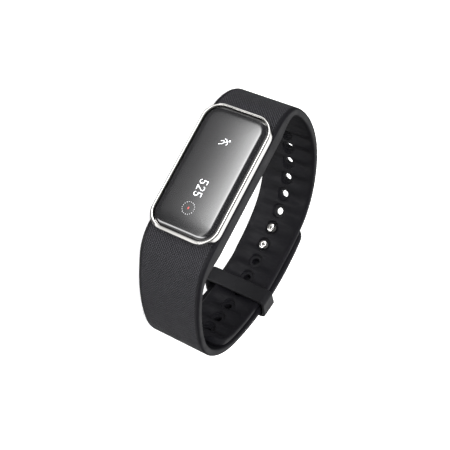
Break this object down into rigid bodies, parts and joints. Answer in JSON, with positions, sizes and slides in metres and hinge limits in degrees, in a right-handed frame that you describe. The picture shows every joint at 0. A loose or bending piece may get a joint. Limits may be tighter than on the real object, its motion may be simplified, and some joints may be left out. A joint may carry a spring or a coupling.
{
  "type": "fitness tracker band",
  "caption": "Silicone wrist band with a rectangular glass-fronted activity tracker, a stud-and-hole clasp and a sliding keeper loop, closed as worn.",
  "frame": {"origin": "middle of the footprint of the band standing on its side edge", "axes": "+Z along the wrist axis, up out of the side edge that it stands on; the display faces -Y; +X runs along the display from its icon end to its touch key end"},
  "size_m": [0.0702, 0.0574, 0.0214],
  "materials": {
    "silicone": "charcoal silicone, diamond textured outside",
    "keeper_rubber": "smooth charcoal rubber",
    "polished_steel": "polished",
    "steel": "plain",
    "gold": "gold plated",
    "dark_glass": "black tinted, glossy",
    "display_black": "glossy",
    "case_plastic": "fine matte",
    "seal_rubber": "matte",
    "board_green": "solder mask",
    "chip_black": "moulded",
    "flex_amber": "polyimide",
    "battery_foil": "foil pouch",
    "led_clear": "clear"
  },
  "bodies": {
    "band": {"strap_body": "silicone", "strap_hole_grip": "silicone", "strap_hole_tail": "silicone"},
    "tracker": {"bezel_frame": "polished_steel", "cover_glass": "dark_glass", "mid_frame": "case_plastic", "back_cover": "case_plastic", "sensor_window": "dark_glass", "glass_gasket": "seal_rubber", "display_panel": "display_black", "display_flex": "flex_amber", "touch_key_pad": "gold", "main_board": "board_green", "processor_chip": "chip_black", "radio_chip": "chip_black", "motion_sensor": "chip_black", "battery_cell": "battery_foil", "motor_can": "steel", "motor_base": "steel", "sensor_board": "board_green", "pulse_led_1": "led_clear", "pulse_led_2": "led_clear", "pulse_photodiode": "chip_black", "case_seal": "seal_rubber", "cover_screw_1": "steel", "cover_screw_2": "steel", "cover_screw_3": "steel", "cover_screw_4": "steel", "charge_contact_1": "gold", "charge_contact_2": "gold"},
    "motor_rotor": {"motor_weight": "steel"},
    "clasp_flap": {"strap_clasp_flap": "silicone", "clasp_plate": "steel", "clasp_stud_1": "polished_steel", "clasp_stud_2": "polished_steel"},
    "keeper": {"keeper_loop": "keeper_rubber"}
  },
  "joints": [
    {"name": "clasp_peel", "type": "hinge", "parent": "band", "child": "clasp_flap", "pos_m": [0.0093, 0.02704, 0.0107], "axis": [0, 0, -1], "range_deg": [0, 50], "stiffness_Nm_per_rad": 0.02, "deforming": ["strap_hole_grip"]},
    {"name": "keeper_slide", "type": "hinge", "parent": "band", "child": "keeper", "pos_m": [-0.00337, -0.02071, 0.0107], "axis": [0, 0, -1], "range_deg": [0, 9.9]},
    {"name": "tracker_release", "type": "slide", "parent": "band", "child": "tracker", "axis": [0, -1, 0], "range_m": [0, 0.009]},
    {"name": "motor_spin", "type": "hinge", "parent": "tracker", "child": "motor_rotor", "pos_m": [0.00446, -0.0232, 0.0107], "axis": [0, 1, 0], "continuous": true}
  ]
}
